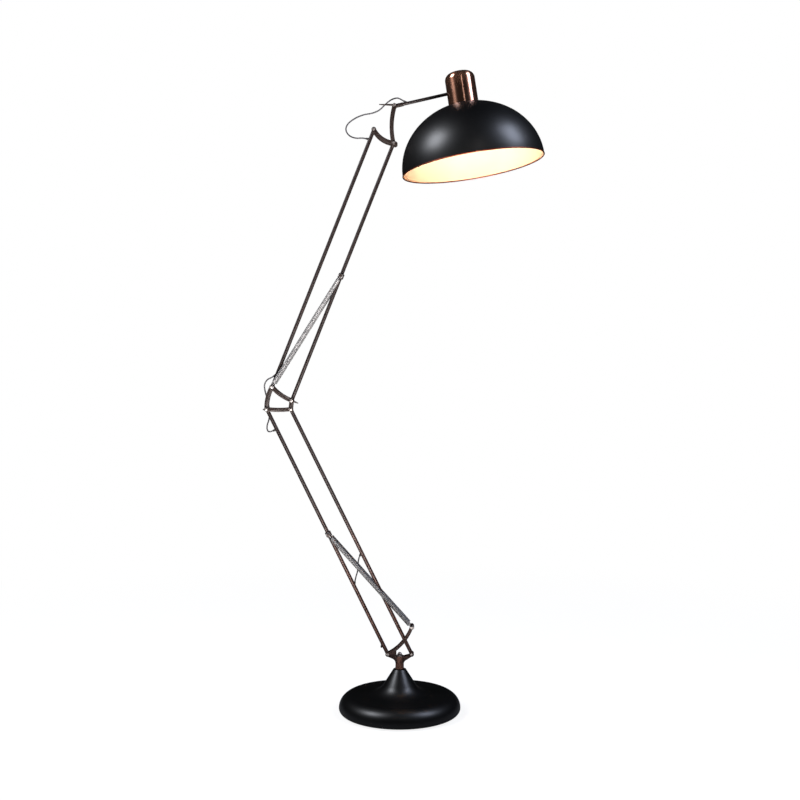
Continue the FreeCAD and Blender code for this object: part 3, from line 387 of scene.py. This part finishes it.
ENAMEL = satin_enamel().material
LINING = peach_lining().material
CAP_COPPER = brushed_copper(SHADE).material
RIM = rim_copper().material
TUBE_BRONZE = oiled_bronze("tube_bronze", (0.016, 0.009, 0.008), (0.105, 0.046, 0.034), 0.38).material
PLATE_BRONZE = oiled_bronze("plate_bronze", (0.016, 0.008, 0.006), (0.060, 0.026, 0.020), 0.42).material
NECK_COPPER = aged_copper().material
BRIGHT = steel("plated_steel", (0.34, 0.30, 0.285), 0.34, 900, metallic=0.85).material
WIRE = steel("spring_wire", (0.27, 0.26, 0.26), 0.5, 1500, metallic=0.5).material
SHEATH = dull("cord_sheath", (0.030, 0.028, 0.032), (0.055, 0.050, 0.055), 0.45, 700).material
RUBBER = dull("gland_rubber", (0.010, 0.009, 0.009), (0.022, 0.018, 0.016), 0.6, 900).material
PHENOLIC = dull("black_phenolic", (0.012, 0.010, 0.009), (0.024, 0.021, 0.019), 0.34, 500).material
FELT = dull("pressed_felt", (0.016, 0.016, 0.017), (0.05, 0.05, 0.05), 0.95, 1100, 0.0002).material
IRON = dull("raw_iron", (0.04, 0.038, 0.036), (0.10, 0.09, 0.085), 0.75, 350, 0.00015).material
BRASS = steel("pressed_brass", (0.62, 0.42, 0.16), 0.26, 1200).material
SLOT_FINISH = {
    "black_enamel": ENAMEL, "shade_enamel": ENAMEL, "copper_cap": CAP_COPPER, "neck_copper": NECK_COPPER,
    "bronze_tube": TUBE_BRONZE, "bronze_plate": PLATE_BRONZE, "bright_steel": BRIGHT, "spring_steel": WIRE,
    "cast_weight": IRON, "felt": FELT, "black_rubber": RUBBER, "cable_sheath": SHEATH,
    "phenolic": PHENOLIC, "contact_brass": BRASS,
}


# ---- floor base ----------------------------------------------------------------------------------


def base_outline(inset=0.0):
    """The base's outer or, with an inset, inner line from the bottom lip up to the neck, in millimetres."""
    radius, edge, shoulder, top, equator, fillet = 170.0, 13.0, 37.0, 52.0, 15.0, 60.0
    slope, neck = 57.3, 17.5
    turn = math.radians(slope)
    foot_up = top + fillet * (1 - math.cos(turn))
    foot_across = neck + (NECK_TOP - foot_up) / math.tan(turn)
    flat_across = foot_across + fillet * math.sin(turn)
    line = arc(radius - edge, equator, edge - inset, -90, 0, 10)
    line += arc(radius - shoulder, equator, shoulder - inset, 0, 90, 22)
    line += [(flat_across, top - inset)]
    line += arc(flat_across, top + fillet, fillet + inset, -90, -90 - slope, 20)
    return line, slope


def floor_base():
    outer, slope = base_outline()
    inner, _ = base_outline(BASE_WALL)
    turn = math.radians(slope)
    last = inner[-1]
    inner.append((last[0] - (NECK_FLOOR - last[1]) / math.tan(turn), NECK_FLOOR))
    profile = [(LIP_BORE, LIP_FOOT)] + outer + rounded_neck()
    profile += [(STUD_BORE, NECK_TOP), (STUD_BORE, NECK_FLOOR)] + inner[::-1]
    profile += [(LIP_BORE, LIP_FOOT + BASE_WALL)]
    made = bmesh.new()
    turn_outline(made, profile, 144)
    return stands_for(finish_mesh("base_shell_spun", made, [ENAMEL]), "base_shell")


def rounded_neck():
    """The top of the cone turns in over a small edge."""
    return [(17.9, NECK_TOP - 0.6), (17.4, NECK_TOP - 0.05), (16.8, NECK_TOP)]


# ---- head ----------------------------------------------------------------------------------------


def shade():
    """The spun dome, enamelled outside and painted inside, with a rolled copper edge."""
    middle = SHADE_RADIUS - SHADE_WALL / 2

    def dome(across, up, top, steps=44):
        end = math.asin(top / up)
        start = math.asin(BEAD_TOP / up)
        turns = [start + (end - start) * step / steps for step in range(steps + 1)]
        return [(across * math.cos(turn), up * math.sin(turn)) for turn in turns]

    outside = dome(SHADE_RADIUS, SHADE_DEPTH, CROWN)
    inside = dome(SHADE_RADIUS - SHADE_WALL, SHADE_DEPTH - SHADE_WALL, CROWN - SHADE_WALL)
    profile = arc(middle, 0, BEAD, 114.6, 425.4, 22)[1:-1]
    profile += outside + [(CROWN_BORE, CROWN), (CROWN_BORE, CROWN - SHADE_WALL)] + inside[::-1]
    made = bmesh.new()
    turn_outline(made, profile, 160)
    for face in made.faces:
        middle_spot = face.calc_center_median()
        outwards = face.normal.dot(middle_spot) > 0
        face.material_index = 2 if middle_spot.z < BEAD_TOP * MM else (0 if outwards else 1)
    made.transform(SHADE)
    return stands_for(finish_mesh("shade_spun", made, [ENAMEL, LINING, RIM]), "shade")


def copper_cap():
    radius, height, corner, wall = 42.0, 265.0, 20.0, 2.0
    outside = [(radius, CROWN + 0.6), (radius, height - corner)]
    outside += arc(radius - corner, height - corner, corner, 0, 90, 16)[1:]
    outside += [(radius - corner - 10, height), (0, height)]
    inside = [(0, height - wall), (radius - corner, height - wall)]
    inside += arc(radius - corner, height - corner, corner - wall, 90, 0, 10)[1:]
    inside += [(radius - wall, CROWN + 0.3)]
    made = bmesh.new()
    turn_outline(made, outside + inside + [(radius - 0.6, CROWN)], 96)
    made.transform(SHADE)
    return stands_for(finish_mesh("copper_cap_spun", made, [CAP_COPPER]), "copper_cap")


def lampholder():
    """The holder's body, with the ribs and grooves of a moulded lampholder."""
    low, bore, radius = 104.0, 14.25, 20.0
    ribs = []
    for step in range(7):
        foot = low + 8 + step * 5.2
        ribs += [(radius - 1.0, foot), (radius, foot + 0.6)]
        ribs += [(radius, foot + 3.2), (radius - 1.0, foot + 3.8)]
    flange_low, flange = CROWN - SHADE_WALL - 4.0, 27.0
    top = CROWN + 5.0
    profile = [(bore, low + 0.6), (bore + 0.6, low), (radius - 1.6, low), (radius - 0.6, low + 1.0)] + ribs
    profile += [(radius - 0.6, flange_low), (flange - 0.6, flange_low), (flange, flange_low + 0.6)]
    profile += [(flange, flange_low + 4.0), (radius, flange_low + 4.0), (radius, top), (12.0, top)]
    profile += [(12.0, top + 13.4), (11.4, top + 14.0), (0, top + 14.0)]
    made = bmesh.new()
    turn_outline(made, loop_from_axis(profile + [(0, low + 34.0), (bore, low + 34.0)]), 72)
    made.transform(SHADE)
    return stands_for(finish_mesh("holder_body_moulded", made, [PHENOLIC]), "holder_body")


def loop_from_axis(points):
    """Start an outline at its first point on the axis and end it at its last, so that its pole closes."""
    on_axis = [index for index, point in enumerate(points) if point[0] == 0]
    start = on_axis[-1]
    return points[start:] + points[:on_axis[0] + 1]


# ---- springs, levers and glands ------------------------------------------------------------------


def helix(made, wire, coil_radius, rise, turns, block):
    """A coil of wire about Z: a block of turns, spun, then stacked copies of it."""
    facets, steps = 8, 14
    ring = bmesh.ops.create_circle(made, segments=facets, radius=wire)["verts"]
    stance = Matrix.Translation((coil_radius, 0, 0)) @ Matrix.Rotation(math.radians(90), 4, "X")
    bmesh.ops.transform(made, matrix=stance, verts=ring)
    edges = list({edge for vert in ring for edge in vert.link_edges})
    bmesh.ops.spin(made, geom=ring + edges, cent=(0, 0, 0), axis=(0, 0, 1), dvec=(0, 0, rise / steps),
                   angle=math.tau * block, steps=steps * block)
    first = made.verts[:] + made.edges[:] + made.faces[:]
    for step in range(1, turns // block):
        copied = bmesh.ops.duplicate(made, geom=first)["geom"]
        bmesh.ops.translate(made, vec=(0, 0, rise * block * step),
                            verts=[item for item in copied if isinstance(item, bmesh.types.BMVert)])
    bmesh.ops.remove_doubles(made, verts=made.verts, dist=1e-6)


def spring_pair(name, top, foot, nodes, bodies):
    """Both close-wound springs of an arm, with a hook at each end."""
    made = bmesh.new()
    reach = (foot - top).length
    wire, hook, coil_radius, pitch, block = 1.0 * MM, HOOK_LENGTH * MM, 5.0 * MM, 2.1 * MM, 10
    turns = block * round((reach - 2 * hook) / pitch / block)
    helix(made, wire, coil_radius, (reach - 2 * hook) / turns, turns, block)
    bmesh.ops.translate(made, vec=(0, 0, hook), verts=made.verts)
    for centre, towards in ((0.0, 1), (reach, -1)):
        hook_wire(made, centre, towards, coil_radius, wire, hook)
    bmesh.ops.translate(made, vec=(0, -SPRING_OFFSET * MM, 0), verts=made.verts)
    copied = bmesh.ops.duplicate(made, geom=made.verts[:] + made.edges[:] + made.faces[:])["geom"]
    bmesh.ops.translate(made, vec=(0, 2 * SPRING_OFFSET * MM, 0),
                        verts=[item for item in copied if isinstance(item, bmesh.types.BMVert)])
    bmesh.ops.recalc_face_normals(made, faces=made.faces)
    place = along_line(top, foot)
    made.transform(place)
    piece = finish_mesh(name, made, [WIRE])
    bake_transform(piece, *bodies, start=place @ Vector((0, 0, hook)), end=place @ Vector((0, 0, reach - hook)))
    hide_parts(*nodes)


def along_line(start, end):
    """A frame at start, in the plane of the arms, whose Z points at end."""
    way = end - start
    return stand(start, math.degrees(math.atan2(way.x, way.z)))


def hook_wire(made, centre, towards, coil_radius, wire, hook):
    """A spring's end: the wire comes in to the middle, runs out and closes into an eye round its pin."""
    eye = HOOK_EYE * MM
    path = [Vector((coil_radius, 0, centre + towards * hook)),
            Vector((0.6 * coil_radius, 0, centre + towards * (hook - 1.2 * MM))),
            Vector((0, 0, centre + towards * (hook - 3.0 * MM))),
            Vector((0, 0, centre + towards * (eye + 3.0 * MM)))]
    for step in range(25):
        turn = math.radians(330 * step / 24)
        path.append(Vector((eye * math.sin(turn), 0, centre + towards * eye * math.cos(turn))))
    tube = tube_mesh("spring_hook", path, wire, smooth=False)
    made.from_mesh(tube)
    bpy.data.meshes.remove(tube)


def curve_of(name, points, kind="NURBS"):
    data = bpy.data.curves.new(name, "CURVE")
    data.dimensions = "3D"
    data.resolution_u = 8
    spline = data.splines.new(kind)
    spline.points.add(len(points) - 1)
    for spot, point in zip(spline.points, points):
        spot.co = (*point, 1)
    if kind == "NURBS":
        spline.order_u = 3
        spline.use_endpoint_u = True
    return data


def tube_mesh(name, points, radius, smooth=True):
    """The mesh of a round tube along points; smooth runs a spline through between them."""
    data = curve_of(name, points, "NURBS" if smooth else "POLY")
    data.bevel_depth = radius
    data.bevel_resolution = 3
    data.use_fill_caps = True
    holder = bpy.data.objects.new(name, data)
    mesh = bpy.data.meshes.new_from_object(holder)
    bpy.data.objects.remove(holder)
    bpy.data.curves.remove(data)
    return mesh


def line_of(name, points):
    """The points that a smooth spline through a route really follows."""
    data = curve_of(name, points)
    holder = bpy.data.objects.new(name, data)
    mesh = bpy.data.meshes.new_from_object(holder)
    line = [vert.co.copy() for vert in mesh.vertices]
    bpy.data.meshes.remove(mesh)
    bpy.data.objects.remove(holder)
    bpy.data.curves.remove(data)
    return line


def clamp_lever(node, origin, length, lean):
    """A clamp lever: a round hub on its bolt and a tapered spike with a round tip."""
    made = bmesh.new()
    foot, height, radius = -16.8, 7.0, 5.0
    hub = rounded([(2.6, foot), (radius, foot, 0.8), (radius, foot + height, 0.8), (2.6, foot + height)])
    turn_outline(made, hub, 36, Matrix.Translation(origin) @ ALONG_Y)
    root, tip = 3.2, 1.2
    spike = [(0, 1.0), (root, 1.0), (root, 5.0), (tip + 0.15, length - 1.2), (tip, length - 0.5)]
    spike += [(tip * 0.5, length - 0.1), (0, length)]
    place = Matrix.Translation(origin + Vector((0, (foot + height / 2) * MM, 0)))
    turn_outline(made, spike, 24, place @ Matrix.Rotation(math.radians(lean), 4, "Y"))
    return stands_for(finish_mesh(node + "_turned", made, [PLATE_BRONZE]), node)


def glands(name, node, frames):
    """Tapered rubber bosses with the rings of a strain relief."""
    made = bmesh.new()
    for place, station, angle in frames:
        rings = [(3.7, 3.4)]
        for step in range(4):
            up = RIB_START + step * RIB_PITCH
            wide = 3.6 - 0.15 * step - 0.1
            rings += [(wide, up), (wide - 0.35, up + 0.35), (wide - 0.35, up + 0.8), (wide - 0.1, up + 1.05)]
        profile = [(0, 3.0)] + rings + [(2.6, GLAND_LENGTH - 0.4), (2.2, GLAND_LENGTH), (0, GLAND_LENGTH)]
        foot = place @ Matrix.Translation((0, 0, station * MM))
        turn_outline(made, profile, 28, foot @ Matrix.Rotation(math.radians(angle), 4, "Y"))
    return stands_for(finish_mesh(name, made, [RUBBER]), node)


# ---- cords ---------------------------------------------------------------------------------------


def mouth(place, port, reach=GLAND_LENGTH):
    """A point on a gland's axis, a reach in millimetres from its tube's middle."""
    station, angle = port
    out = Matrix.Rotation(math.radians(angle), 4, "Y") @ Vector((0, 0, reach * MM))
    return place @ (Vector((0, 0, station * MM)) + out)


LOWER_PORT, CROSS_PORT, CROSS_FAR_PORT = (701.0, -85), (212.6, 38), (317.0, -130)
UPPER_PORT, HEAD_PORT, STEM_PORT, INLET = (37.8, -142), (745.0, -100), (37.0, -135.6), (32.0, -135)


def cord(node, route, bodies):
    """A length of flex that bends between the two bodies it crosses."""
    line = line_of(node + "_line", route)
    mesh = tube_mesh(node + "_flex", route, CORD_RADIUS)
    made = bmesh.new()
    made.from_mesh(mesh)
    bpy.data.meshes.remove(mesh)
    piece = finish_mesh(node + "_flex", made, [SHEATH])
    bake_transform(piece, *bodies, start=route[0], end=route[-1])
    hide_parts(node)


def cords():
    lead = [
        mouth(LOWER_LEFT, CROSS_PORT), mouth(LOWER_LEFT, CROSS_PORT, GLAND_LENGTH + 12),
        Vector((-0.1185, 0, 0.391)), Vector((-0.1155, 0, 0.405)),
    ]
    lead += [mouth(LOWER_RIGHT, CROSS_FAR_PORT, GLAND_LENGTH + 12), mouth(LOWER_RIGHT, CROSS_FAR_PORT)]
    cord("crossover_lead", lead, ("lower_left", "crossover"))

    elbow = [
        mouth(LOWER_LEFT, LOWER_PORT), mouth(LOWER_LEFT, LOWER_PORT, GLAND_LENGTH + 9),
        Vector((-0.371, 0.003, 0.787)), Vector((-0.373, 0.007, 0.801)), Vector((-0.366, 0.012, 0.821)),
        Vector((-0.367, 0.017, 0.850)), Vector((-0.372, 0.0175, 0.874)), Vector((-0.379, 0.015, 0.898)),
        Vector((-0.381, 0.011, 0.916)), Vector((-0.372, 0.005, 0.931)),
        mouth(UPPER_LEFT, UPPER_PORT, GLAND_LENGTH + 9), mouth(UPPER_LEFT, UPPER_PORT),
    ]
    halves(elbow, 5, ("elbow_loop_lower", "elbow_loop_upper"), ("lower_left", "elbow", "upper_left"))

    head = [
        mouth(UPPER_LEFT, HEAD_PORT), mouth(UPPER_LEFT, HEAD_PORT, GLAND_LENGTH + 10),
        Vector((-0.122, 0.003, 1.6065)), Vector((-0.142, 0.006, 1.614)), Vector((-0.153, 0.008, 1.632)),
        Vector((-0.146, 0.008, 1.650)), Vector((-0.125, 0.008, 1.665)), Vector((-0.101, 0.008, 1.675)),
        Vector((-0.077, 0.008, 1.678)), Vector((-0.056, 0.008, 1.687)), Vector((-0.041, 0.008, 1.703)),
        Vector((-0.024, 0.005, 1.7165)), Vector((-0.007, 0.003, 1.721)),
        mouth(STEM, STEM_PORT, GLAND_LENGTH + 10), mouth(STEM, STEM_PORT),
    ]
    halves(head, 7, ("head_loop_lower", "head_loop_upper"), ("upper_left", "head_bracket", "head"))


def halves(route, run, nodes, bodies):
    """A loop over two joints: two lengths that meet in the middle of a run, each bending over one joint."""
    middle = (route[run] + route[run + 1]) / 2
    cord(nodes[0], route[:run + 1] + [middle], bodies[:2])
    cord(nodes[1], [middle] + route[run + 1:], bodies[1:])


# ---- everything ----------------------------------------------------------------------------------

SOFT_EDGES = {
    "neck_collar": 0.4, "base_bracket_front": 0.8, "base_bracket_back": 0.8, "elbow_plate_front": 0.8,
    "elbow_plate_back": 0.8, "head_bracket_front": 0.8, "head_bracket_back": 0.8, "base_pivot_bolts": 0.5,
    "elbow_bolts": 0.5, "head_bracket_bolts": 0.5, "lever_pins": 0.4, "lower_spring_anchor": 0.5,
    "upper_spring_anchor": 0.5, "lower_left_ends": 0.6, "lower_right_ends": 0.6, "upper_left_ends": 0.6,
    "upper_right_ends": 0.6, "stem_knuckle": 0.6, "cap_lock_nuts": 0.4, "holder_strap": 0.3,
    "shade_ring": 0.5, "bracket_screws": 0.4, "swivel_cap_nut": 0.3, "elbow_spacers": 0.3,
    "head_bracket_spacer": 0.3,
}
# Each clamp lever: its node, the joint it sits on, its length in millimetres and its lean in degrees.
CLAMPS = (
    ("elbow_clamp_left", "elbow_turn", 10.0, -95), ("elbow_clamp_right", "upper_right_turn", 21.0, 112),
    ("head_clamp", "head_tilt", 43.0, -88),
)


def build():
    for name, thing in NODES.items():
        thing.data.materials.clear()
        thing.data.materials.append(SLOT_FINISH[SLOT_OF[name]])
    for node, width in SOFT_EDGES.items():
        stands_for(softened(node + "_eased", node, width, [SLOT_FINISH[SLOT_OF[node]]]), node)
    floor_base()
    shade()
    copper_cap()
    lampholder()
    anchor = LOWER_LEFT @ Vector((0, 0, ANCHOR * MM))
    spring_pair("lower_spring_coils", anchor, LEVER_END, ("lower_springs", "lower_spring_feet"),
                ("lower_spring_top", "lower_spring_foot"))
    anchor = UPPER_RIGHT @ Vector((0, 0, ANCHOR * MM))
    spring_pair("upper_spring_coils", anchor, UPPER_LEFT.to_translation(),
                ("upper_springs", "upper_spring_feet"), ("upper_spring_top", "upper_spring_foot"))
    for node, joint, length, lean in CLAMPS:
        clamp_lever(node, PIVOT[joint], length, lean)
    glands("lower_left_gland_cones", "lower_left_glands",
           [(LOWER_LEFT, *INLET), (LOWER_LEFT, *LOWER_PORT), (LOWER_LEFT, *CROSS_PORT)])
    glands("lower_right_gland_cone", "lower_right_gland", [(LOWER_RIGHT, *CROSS_FAR_PORT)])
    glands("upper_left_gland_cones", "upper_left_glands",
           [(UPPER_LEFT, *UPPER_PORT), (UPPER_LEFT, *HEAD_PORT)])
    glands("stem_gland_cone", "stem_gland", [(STEM, *STEM_PORT)])
    cords()


# ---- studio --------------------------------------------------------------------------------------

CAMERA_DISTANCE, CAMERA_HEIGHT = 3.0, 0.9307
AMBIENT = 0.008
FLOOR_FADE_START, FLOOR_FADE_END = 0.5, 2.6


def camera():
    data = bpy.data.cameras.new("camera")
    data.sensor_width = 36
    data.lens = 48.2
    data.shift_y = -0.0255
    viewer = bpy.data.objects.new("camera", data)
    bpy.context.scene.collection.objects.link(viewer)
    viewer.location = (0.001, -CAMERA_DISTANCE, CAMERA_HEIGHT)
    viewer.rotation_euler = (math.radians(90), 0, 0)
    bpy.context.scene.camera = viewer


def softbox(name, at, towards, size, power, colour, spread=180):
    data = bpy.data.lights.new(name, "AREA")
    data.shape = "RECTANGLE"
    data.size, data.size_y = size
    data.energy = power
    data.color = colour
    data.spread = math.radians(spread)
    lamp = bpy.data.objects.new(name, data)
    bpy.context.scene.collection.objects.link(lamp)
    lamp.location = at
    lamp.rotation_euler = (Vector(towards) - Vector(at)).to_track_quat("-Z", "Y").to_euler()
    lamp.visible_camera = False


def studio():
    scene = bpy.context.scene
    scene.view_settings.view_transform = "Standard"
    world = bpy.data.worlds.new("studio")
    scene.world = world
    world.use_nodes = True
    tree = world.node_tree
    tree.nodes.clear()
    output = tree.nodes.new("ShaderNodeOutputWorld")
    mix = tree.nodes.new("ShaderNodeMixShader")
    seen = tree.nodes.new("ShaderNodeBackground")
    felt = tree.nodes.new("ShaderNodeBackground")
    path = tree.nodes.new("ShaderNodeLightPath")
    seen.inputs[0].default_value = (1, 1, 1, 1)
    felt.inputs[0].default_value = (1, 1, 1, 1)
    felt.inputs[1].default_value = AMBIENT
    tree.links.new(path.outputs["Is Camera Ray"], mix.inputs[0])
    tree.links.new(felt.outputs[0], mix.inputs[1])
    tree.links.new(seen.outputs[0], mix.inputs[2])
    tree.links.new(mix.outputs[0], output.inputs[0])

    floor()
    softbox("left_box", (-3.0, -0.9, 3.9), (0.1, 0, 1.2), (1.5, 1.5), 140, (0.90, 0.93, 1.0))
    softbox("right_box", (2.6, -0.9, 3.6), (0.1, 0, 1.2), (1.2, 1.7), 92, (0.74, 0.81, 1.0))
    softbox("under_fill", (0.10, -1.1, 0.03), (0.2, 0, 1.6), (1.2, 0.9), 78, (1.0, 0.99, 0.97), 106)
    softbox("thin_strip", (0.45, -2.6, 2.6), (0.17, 0, 1.75), (0.05, 0.9), 2.0, (1.0, 0.95, 0.92))


def floor():
    """A pale floor that runs on into the white behind it."""
    pale = Finish("pale_floor", roughness=0.9, specular_ior_level=0.0)
    seen = pale.add("ShaderNodeLightPath", out="Is Camera Ray")
    away = pale.add("ShaderNodeVectorMath", {"operation": "LENGTH"}, (pale.place,), out="Value")
    far = away.ramp(FLOOR_FADE_START, FLOOR_FADE_END)
    pale.set("Base Color", pale.mix(far, (0.25, 0.25, 0.25), (0.0, 0.0, 0.0)))
    glow = pale.mix(far, (0.86, 0.86, 0.86), (1.0, 1.0, 1.0))
    pale.set("Emission Color", pale.mix(seen, (0.005, 0.005, 0.005), glow))
    pale.set("Emission Strength", 1.0)
    made = bmesh.new()
    bmesh.ops.create_circle(made, cap_ends=True, segments=96, radius=30)
    finish_mesh("floor", made, [pale.material])


build()
camera()
studio()
